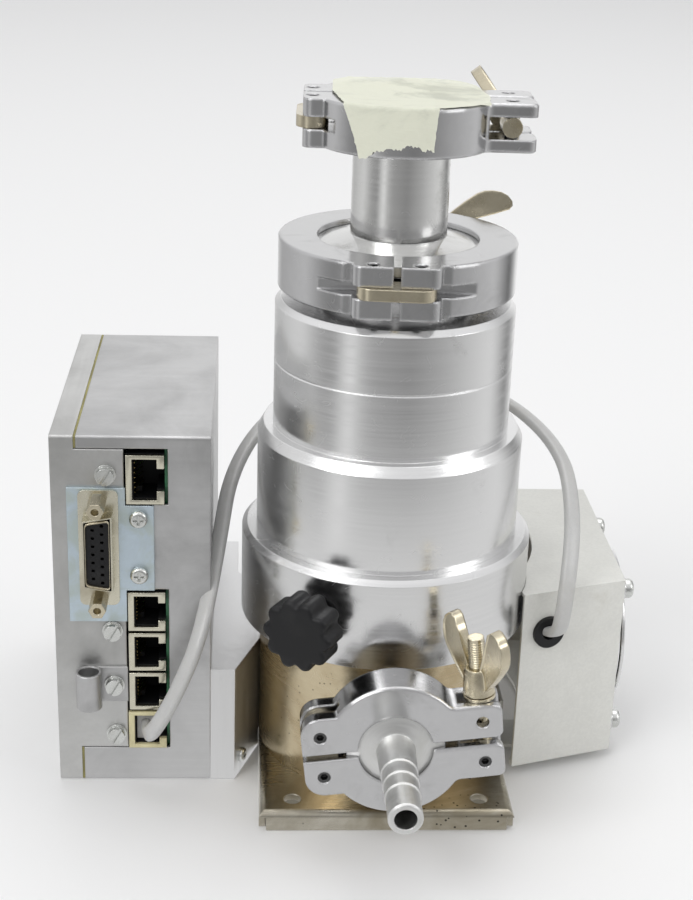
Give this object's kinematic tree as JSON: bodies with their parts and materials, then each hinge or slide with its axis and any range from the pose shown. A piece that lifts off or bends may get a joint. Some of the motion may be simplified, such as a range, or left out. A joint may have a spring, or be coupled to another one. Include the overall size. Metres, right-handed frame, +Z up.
{
  "type": "turbomolecular pump",
  "caption": "Turbomolecular vacuum pump with clamped inlet reducer, hose port, side electronics box and a ducted cooling fan, with its rotor, fan, wing nuts and vent valve free to move",
  "frame": {"origin": "on the pump's axis, in the plane of the feet", "axes": "+Z up along the rotor's axis towards the inlet, -Y towards the backing port and its hose nozzle, -X towards the electronics box, +X towards the fan"},
  "size_m": [0.1902, 0.1839, 0.2285],
  "materials": {
    "satin_aluminium": "satin turned",
    "stained_aluminium": "aged, matt",
    "clamp_aluminium": "die cast, tumbled",
    "polished_steel": "polished",
    "bright_nickel": "warm nickel",
    "black_steel": "blackened",
    "zinc_grey": "brushed sheet",
    "zinc_blue": "blue zinc",
    "grey_paint": "satin",
    "black_plastic": "matt",
    "black_rubber": "matt",
    "olive_rubber": "matt",
    "cream_plastic": "satin",
    "grey_plastic": "satin",
    "green_board": "satin",
    "copper_winding": "varnished",
    "pale_tape": "clear film"
  },
  "bodies": {
    "pump": {"adapter_block": "satin_aluminium", "base_housing": "stained_aluminium", "bearing_balls": "polished_steel", "bearing_outer_ring": "polished_steel", "box_case": "zinc_grey", "box_cover": "zinc_grey", "box_gasket": "olive_rubber", "cable_clip": "zinc_grey", "cable_plug": "grey_plastic", "centring_rings": "polished_steel", "circuit_board": "green_board", "clamp_links": "bright_nickel", "clamp_pins": "black_steel", "connector_plate": "zinc_blue", "cross_screws": "polished_steel", "drag_stator": "satin_aluminium", "drive_housing": "satin_aluminium", "fan_cable": "grey_plastic", "fan_duct": "grey_paint", "fan_frame": "black_plastic", "fan_jack": "cream_plastic", "foot_plate": "stained_aluminium", "foreline_clamp_nut_half": "clamp_aluminium", "foreline_clamp_pivot_half": "clamp_aluminium", "grommet": "black_rubber", "guard_screws": "polished_steel", "hex_standoffs": "polished_steel", "hose_nozzle": "polished_steel", "housing_screws": "polished_steel", "inlet_clamp_nut_half": "clamp_aluminium", "inlet_clamp_pivot_half": "clamp_aluminium", "large_jack": "bright_nickel", "magnet_carrier": "polished_steel", "motor_stator": "copper_winding", "reducer": "polished_steel", "rotor_housing": "satin_aluminium", "seal_rings": "black_rubber", "slotted_screws": "polished_steel", "small_jacks": "bright_nickel", "socket_insert": "black_plastic", "socket_shell": "bright_nickel", "stator_discs": "satin_aluminium", "tape_cover": "pale_tape", "top_clamp_nut_half": "clamp_aluminium", "top_clamp_pivot_half": "clamp_aluminium", "wire_guard": "polished_steel"},
    "foreline_bolt": {"foreline_clamp_swing_bolt": "bright_nickel"},
    "foreline_washer": {"foreline_clamp_washer": "bright_nickel"},
    "foreline_nut": {"foreline_clamp_wing_nut": "bright_nickel"},
    "inlet_bolt": {"inlet_clamp_swing_bolt": "bright_nickel"},
    "inlet_washer": {"inlet_clamp_washer": "bright_nickel"},
    "inlet_nut": {"inlet_clamp_wing_nut": "bright_nickel"},
    "top_bolt": {"top_clamp_swing_bolt": "bright_nickel"},
    "top_washer": {"top_clamp_washer": "bright_nickel"},
    "top_nut": {"top_clamp_wing_nut": "bright_nickel"},
    "rotor": {"rotor": "satin_aluminium", "bearing_inner_ring": "polished_steel"},
    "fan": {"fan_rotor": "black_plastic"},
    "vent_stem": {"vent_stem": "polished_steel"},
    "vent_knob": {"vent_knob": "black_plastic"}
  },
  "joints": [
    {"name": "rotor_spin", "type": "hinge", "parent": "pump", "child": "rotor", "pos_m": [0, 0, 0.1], "axis": [0, 0, 1], "continuous": true},
    {"name": "fan_spin", "type": "hinge", "parent": "pump", "child": "fan", "pos_m": [0.07, 0.0235, 0.036], "axis": [1, 0, 0], "continuous": true},
    {"name": "foreline_bolt_swing", "type": "hinge", "parent": "pump", "child": "foreline_bolt", "pos_m": [0.02721, -0.062, 0.03555], "axis": [0, 1, 0], "range_deg": [0, 100]},
    {"name": "foreline_washer_slide", "type": "slide", "parent": "foreline_bolt", "child": "foreline_washer", "axis": [-0.1149, 0, 0.9934], "range_m": [0, 0.004]},
    {"name": "foreline_nut_spin", "type": "hinge", "parent": "foreline_washer", "child": "foreline_nut", "pos_m": [0.02721, -0.062, 0.03555], "axis": [-0.1149, 0, 0.9934], "range_deg": [0, 1800]},
    {"name": "inlet_bolt_swing", "type": "hinge", "parent": "pump", "child": "inlet_bolt", "pos_m": [-0.00339, 0.04242, 0.17205], "axis": [0, 0, 1], "range_deg": [0, 100]},
    {"name": "inlet_washer_slide", "type": "slide", "parent": "inlet_bolt", "child": "inlet_washer", "axis": [0.9966, -0.0819, 0], "range_m": [0, 0.004]},
    {"name": "inlet_nut_spin", "type": "hinge", "parent": "inlet_washer", "child": "inlet_nut", "pos_m": [-0.00339, 0.04242, 0.17205], "axis": [0.9966, -0.0819, 0], "range_deg": [0, 1800]},
    {"name": "top_bolt_swing", "type": "hinge", "parent": "pump", "child": "top_bolt", "pos_m": [0.03129, -0.00817, 0.2159], "axis": [0, 0, -1], "range_deg": [0, 100]},
    {"name": "top_washer_slide", "type": "slide", "parent": "top_bolt", "child": "top_washer", "axis": [0.0419, 0.9991, 0], "range_m": [0, 0.004]},
    {"name": "top_nut_spin", "type": "hinge", "parent": "top_washer", "child": "top_nut", "pos_m": [0.03129, -0.00817, 0.2159], "axis": [0.0419, 0.9991, 0], "range_deg": [0, 1800]},
    {"name": "vent_stem_slide", "type": "slide", "parent": "pump", "child": "vent_stem", "axis": [-0.4924, -0.8704, 0], "range_m": [0, 0.0015]},
    {"name": "vent_knob_turn", "type": "hinge", "parent": "vent_stem", "child": "vent_knob", "pos_m": [-0.02708, -0.04787, 0.0697], "axis": [-0.4924, -0.8704, 0], "range_deg": [0, 540]}
  ],
  "couplings": [
    {"joint": "foreline_washer_slide", "follows": "foreline_nut_spin", "m_per_rad": 0.00012732},
    {"joint": "inlet_washer_slide", "follows": "inlet_nut_spin", "m_per_rad": 0.00012732},
    {"joint": "top_washer_slide", "follows": "top_nut_spin", "m_per_rad": 0.00012732},
    {"joint": "vent_stem_slide", "follows": "vent_knob_turn", "m_per_rad": 0.00015915}
  ]
}
